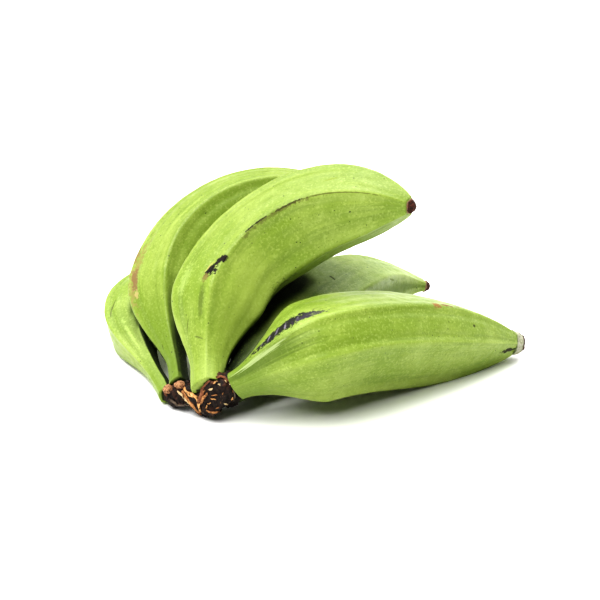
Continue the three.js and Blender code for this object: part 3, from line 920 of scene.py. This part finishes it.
def crown_bar():
    """The bent bar of the crown with its front cut flat, as in the solids."""
    t = np.linspace(0, 1, CROWN_RINGS)
    middle = stage_curve([stage[0] for stage in CROWN_STAGES], t)
    sizes = stage_curve([stage[1:] for stage in CROWN_STAGES], t)
    line = np.gradient(middle, axis=0)
    line /= np.linalg.norm(line, axis=1)[:, None]
    back = np.cross((0, 0, 1), line)
    back /= np.linalg.norm(back, axis=1)[:, None]
    angle = np.linspace(0, 2 * math.pi, CROWN_SIDES, endpoint=False)
    x, y, z = (middle[:, k:k + 1] for k in range(3))
    relief = torn_relief(x + 12 * np.cos(angle), y, z + 12 * np.sin(angle))
    along = np.maximum(squared(np.cos(angle)) * relief, -CROWN_CUT) * sizes[:, :1]
    ring = middle[:, None] + along[..., None] * back[:, None]
    ring[..., 2] += squared(np.sin(angle)) * relief * sizes[:, 1:]
    return loft_points(ring), loft_faces(CROWN_RINGS, CROWN_SIDES)


def ball(place, size, rings=24, sides=32):
    """Points and faces of a rough ball, mm."""
    down = np.linspace(0.04, math.pi - 0.04, rings)[:, None]
    angle = np.linspace(0, 2 * math.pi, sides, endpoint=False)[None]
    across = np.sin(down)
    ring = np.stack([across * np.cos(angle), across * np.sin(angle), -np.cos(down) + 0 * angle], -1)
    ring *= np.asarray(size, float)
    ring *= torn_relief(ring[..., 0], ring[..., 1], ring[..., 2])[..., None]
    return loft_points(ring + np.array(place, float)), loft_faces(rings, sides)


def crown_mesh(material):
    """The bar and its knob fused into one skin of even grain, then torn into fibres and pits."""
    bar_points, bar_faces = crown_bar()
    knob_points, knob_faces = ball(*CROWN_KNOB)
    faces = bar_faces + [tuple(i + len(bar_points) for i in face) for face in knob_faces]
    crown = add_mesh("crown_stalk", np.concatenate([bar_points, knob_points]) - MIDDLE, faces, material)
    fuse = crown.modifiers.new("fuse", "REMESH")
    fuse.mode = "VOXEL"
    fuse.voxel_size = CROWN_GRAIN * MM
    fused = bpy.data.meshes.new_from_object(crown.evaluated_get(bpy.context.evaluated_depsgraph_get()))
    crown.modifiers.clear()
    crown.data = fused
    points = mesh_points(fused)

    # The waist, the shortened left end and the faces that the knife left
    high = np.clip((points[:, 2] - 10) / 10, 0, 1)
    low = np.clip((10 - points[:, 2]) / 8, 0, 1)
    for (across, half, by), share in ((WAIST_TOP, -high), (WAIST_UNDER, low)):
        points[:, 2] += by * np.exp(-(((points[:, 0] - across) / half) ** 2)) * share
    points[:, 0] += CROWN_SQUEEZE * np.maximum(CROWN_LEFT_END - points[:, 0], 0)
    for place, way, spread_to in CROWN_KNIFE_CUTS:
        way = np.array(way) / np.linalg.norm(way)
        away = points - (np.array(place) - MIDDLE)
        near = np.clip((spread_to - np.linalg.norm(away, axis=1)) / KNIFE_FADE, 0, 1)
        points -= (np.maximum(away @ way, 0) * near)[:, None] * way
    move_points(fused, points)

    # Lumps, torn edges and fibres
    normals = mesh_normals(fused)
    lumps = noise_at(points, 6, 1)
    tears = 1 - 2 * np.abs(noise_at(points * (1, 1, 0.55), 3.2, 2))
    fibre = 1 - 2 * np.abs(noise_at(points * (1, 0.5, 1), 1.4, 3))
    depth = CROWN_LUMPS * lumps + CROWN_TEARS * (tears - 0.4) + CROWN_FIBRES * (fibre - 0.4)
    points += depth[:, None] * normals
    points[:, 2] = np.maximum(points[:, 2], CLEAR)
    move_points(fused, points)
    fused.polygons.foreach_set("use_smooth", [True] * len(fused.polygons))
    add_layer(crown, "proud", depth)
    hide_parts("crown")
    return crown


def on_crown(across, up):
    """Where the crown's front shows this place, and the way its surface looks there, mm."""
    down = math.radians(CAMERA_DOWN)
    look = np.array([0, math.cos(down), -math.sin(down)])
    rise = np.array([0, math.sin(down), math.cos(down)])
    start = np.array([across, -90, 0]) + up * rise - 100 * look - MIDDLE
    place, normal, _, _ = crown_tree.ray_cast(Vector(start), Vector(look))
    if place is None:
        place, normal, _, _ = crown_tree.find_nearest(Vector(start + 100 * look))
    return np.array(place), np.array(normal)


def strip_mesh(name, way, wide, material):
    """A torn strip of dried skin that lies on the crown, thin and curled, with grooves along it."""
    t = np.linspace(0, 1, STRIP_RINGS)

    # The strip follows the crown evened out over seven places
    found = [on_crown(across, up) for across, up in stage_curve(way, t)]
    kernel = np.ones(7) / 7
    found = np.pad(np.array(found).reshape(STRIP_RINGS, 6), ((3, 3), (0, 0)), "edge")
    evened = np.stack([np.convolve(column, kernel, "valid") for column in found.T], -1)
    middle, normal = evened[:, :3], evened[:, 3:]
    normal /= np.linalg.norm(normal, axis=1)[:, None]
    line = np.gradient(middle, axis=0)
    line /= np.maximum(np.linalg.norm(line, axis=1), 1e-6)[:, None]
    side = np.cross(line, normal)
    side /= np.linalg.norm(side, axis=1)[:, None]

    # Its edges are ragged, it thins to both ends, and grooves run along it
    rough = noise_at(middle, 1.8, wide * 3, 2)
    half = 0.5 * wide * (0.18 + 0.82 * np.sin(np.pi * t) ** 0.5) * (1 + 0.35 * rough)
    angle = np.linspace(0, 2 * math.pi, STRIP_SIDES, endpoint=False)
    groove = 1 + 0.22 * np.cos(5 * angle[None] + 3 * rough[:, None])
    thick = STRIP_THICK * groove * (0.4 + 0.6 * np.sin(np.pi * t)[:, None] ** 0.5)
    curl = STRIP_CURL * np.cos(angle[None]) ** 2 * (0.5 + rough[:, None])
    lift = STRIP_LIFT + thick * np.sin(angle)[None] + curl
    ring = middle[:, None] + (half[:, None] * np.cos(angle)[None])[..., None] * side[:, None]
    ring = ring + lift[..., None] * normal[:, None]
    ring[..., 2] = np.maximum(ring[..., 2], CLEAR)
    strip = add_mesh(name, loft_points(ring), loft_faces(STRIP_RINGS, STRIP_SIDES), material)
    grain = np.repeat((t * STRIP_RINGS / 20)[:, None], STRIP_SIDES, 1)
    add_places(strip, "fibres", grain, np.cos(angle)[None] + 0 * grain, np.sin(angle)[None] + 0 * grain)
    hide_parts("crown")


def nub_mesh(name, across, up, size, material):
    """A dried stub of an outer leaf that sits on the crown, rough all round."""
    place, normal = on_crown(across, up)
    points, faces = ball((0, 0, 0), size, NUB_RINGS, NUB_SIDES)
    points *= (1 + 0.12 * noise_at(points, 1.6, across, 3))[:, None]
    nub = add_mesh(name, points + place - normal * 0.2 * min(size), faces, material)
    grain = points[:-2].reshape(NUB_RINGS, NUB_SIDES, 3)
    add_places(nub, "fibres", grain[..., 2] * 0.2, grain[..., 0] * 0.8, grain[..., 1] * 0.8)
    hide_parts("crown")


# Blossom ends


def blossom_mesh(name, material):
    """What is left of the flower at a finger's tip: a ragged stub that narrows to its end."""
    owner, length, width, point = BLOSSOM[name]
    finger = FINGERS[owner]
    place, line, _ = even_route(finger["route"], np.array([PEEL_END]))
    place, line = place[0], line[0]
    wide = thickness(finger, PEEL_END) * width
    across = np.cross((0, 0, 1), line)
    across /= np.linalg.norm(across)
    up = np.cross(line, across)
    share = np.linspace(0, 1, BLOSSOM_RINGS)[:, None]
    angle = np.linspace(0, 2 * math.pi, BLOSSOM_SIDES, endpoint=False)[None]
    ragged = 1 - BLOSSOM_RAGGED * (0.5 + 0.5 * np.sin(5 * angle + 2 * share * 4 + finger["ridge"]))
    reach = wide * (1 - (1 - point) * share**1.3) * ragged
    ring = place + (BLOSSOM_GAP + length * share)[..., None] * line
    ring = ring + (reach * np.cos(angle))[..., None] * across + (reach * np.sin(angle))[..., None] * up
    points = loft_points(ring)
    out = points - (place + line * length / 2)
    out /= np.linalg.norm(out, axis=1)[:, None]
    points += BLOSSOM_CRUMBS * noise_at(points, 1.6, 5)[:, None] * out
    points[:, 2] = np.maximum(points[:, 2], CLEAR)
    stub = add_mesh(name + "_stub", points - MIDDLE, loft_faces(BLOSSOM_RINGS, BLOSSOM_SIDES), material)
    add_layer(stub, "outward", loft_values(np.repeat(share, BLOSSOM_SIDES, 1)))
    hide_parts(name)


crown = crown_mesh(crown_material())
crown_tree = tree_of([crown])
everything = tree_of(peels + [crown])
# Each finger keeps how closely the others shut it in, which its peel paints as shade
for peel in peels:
    add_crevices(peel, everything)
strip_materials = {tone: strip_material(*tone) for tone in (PALE_TAN, CREAM, BROWN_TAN, RED_TAN, GREY_BROWN)}
for number, (way, wide, tone) in enumerate(STRIPS, 1):
    strip_mesh("crown_strip_%d" % number, way, wide, strip_materials[tone])
fleck_tones = (PALE_TAN, CREAM, BROWN_TAN)
for number, (across, up, long, wide, lean) in enumerate(FLECKS, 1):
    lean = math.radians(lean)
    reach = np.array([math.cos(lean), math.sin(lean)]) * FLECK_SIZE * long / 2
    middle = np.array([across, up])
    way = [middle - reach, middle, middle + reach]
    strip_mesh("crown_fleck_%d" % number, way, FLECK_SIZE * wide, strip_materials[fleck_tones[number % 3]])
nub = strip_material("#b98d66", "#5b3320")
for number, (across, up, size) in enumerate(NUBS, 1):
    nub_mesh("crown_nub_%d" % number, across, up, size, nub)
withered = withered_material()
grey_cap = cap_material()
for name in BLOSSOM:
    blossom_mesh(name, grey_cap if name == "blossom_end_5" else withered)


# Floor, light and camera


def add_floor():
    """A wide flat board whose rim rises a little, so that low views don't look past it."""
    corners = [(-1, -1), (1, -1), (1, 1), (-1, 1)]
    points = [(x * FLOOR_FLAT, y * FLOOR_FLAT, 0) for x, y in corners]
    points += [(x * FLOOR_EDGE, y * FLOOR_EDGE, FLOOR_RISE) for x, y in corners]
    rim = [(k, 4 + k, 4 + (k + 1) % 4, (k + 1) % 4) for k in range(4)]
    mesh = bpy.data.meshes.new("floor")
    mesh.from_pydata(points, [], [(0, 1, 2, 3)] + rim)
    mesh.materials.append(board_material())
    floor = bpy.data.objects.new("floor", mesh)
    bpy.context.scene.collection.objects.link(floor)


def add_sun(name, place, strength, width):
    data = bpy.data.lights.new(name, "SUN")
    data.energy = strength
    data.angle = math.radians(width)
    light = bpy.data.objects.new(name, data)
    light.location = place
    light.rotation_euler = (-Vector(place)).to_track_quat("-Z", "Y").to_euler()
    bpy.context.scene.collection.objects.link(light)


def add_camera():
    down = math.radians(CAMERA_DOWN)
    target = Vector(CAMERA_TARGET) * MM
    data = bpy.data.cameras.new("camera")
    data.lens = CAMERA_LENS
    data.sensor_width = CAMERA_SENSOR
    camera = bpy.data.objects.new("camera", data)
    away = Vector((0, -math.cos(down), math.sin(down)))
    camera.location = target + away * CAMERA_DISTANCE * MM
    camera.rotation_euler = (math.pi / 2 - down, 0, 0)
    bpy.context.scene.collection.objects.link(camera)
    bpy.context.scene.camera = camera


add_floor()
for name, source in LIGHTS.items():
    add_sun(name, *source)
world = bpy.data.worlds.new("studio")
world.use_nodes = True
world.node_tree.nodes["Background"].inputs["Color"].default_value = (1, 1, 1, 1)
world.node_tree.nodes["Background"].inputs["Strength"].default_value = ROOM_LIGHT
bpy.context.scene.world = world
bpy.context.scene.view_settings.view_transform = "Standard"
bpy.context.scene.view_settings.look = "High Contrast"
add_camera()
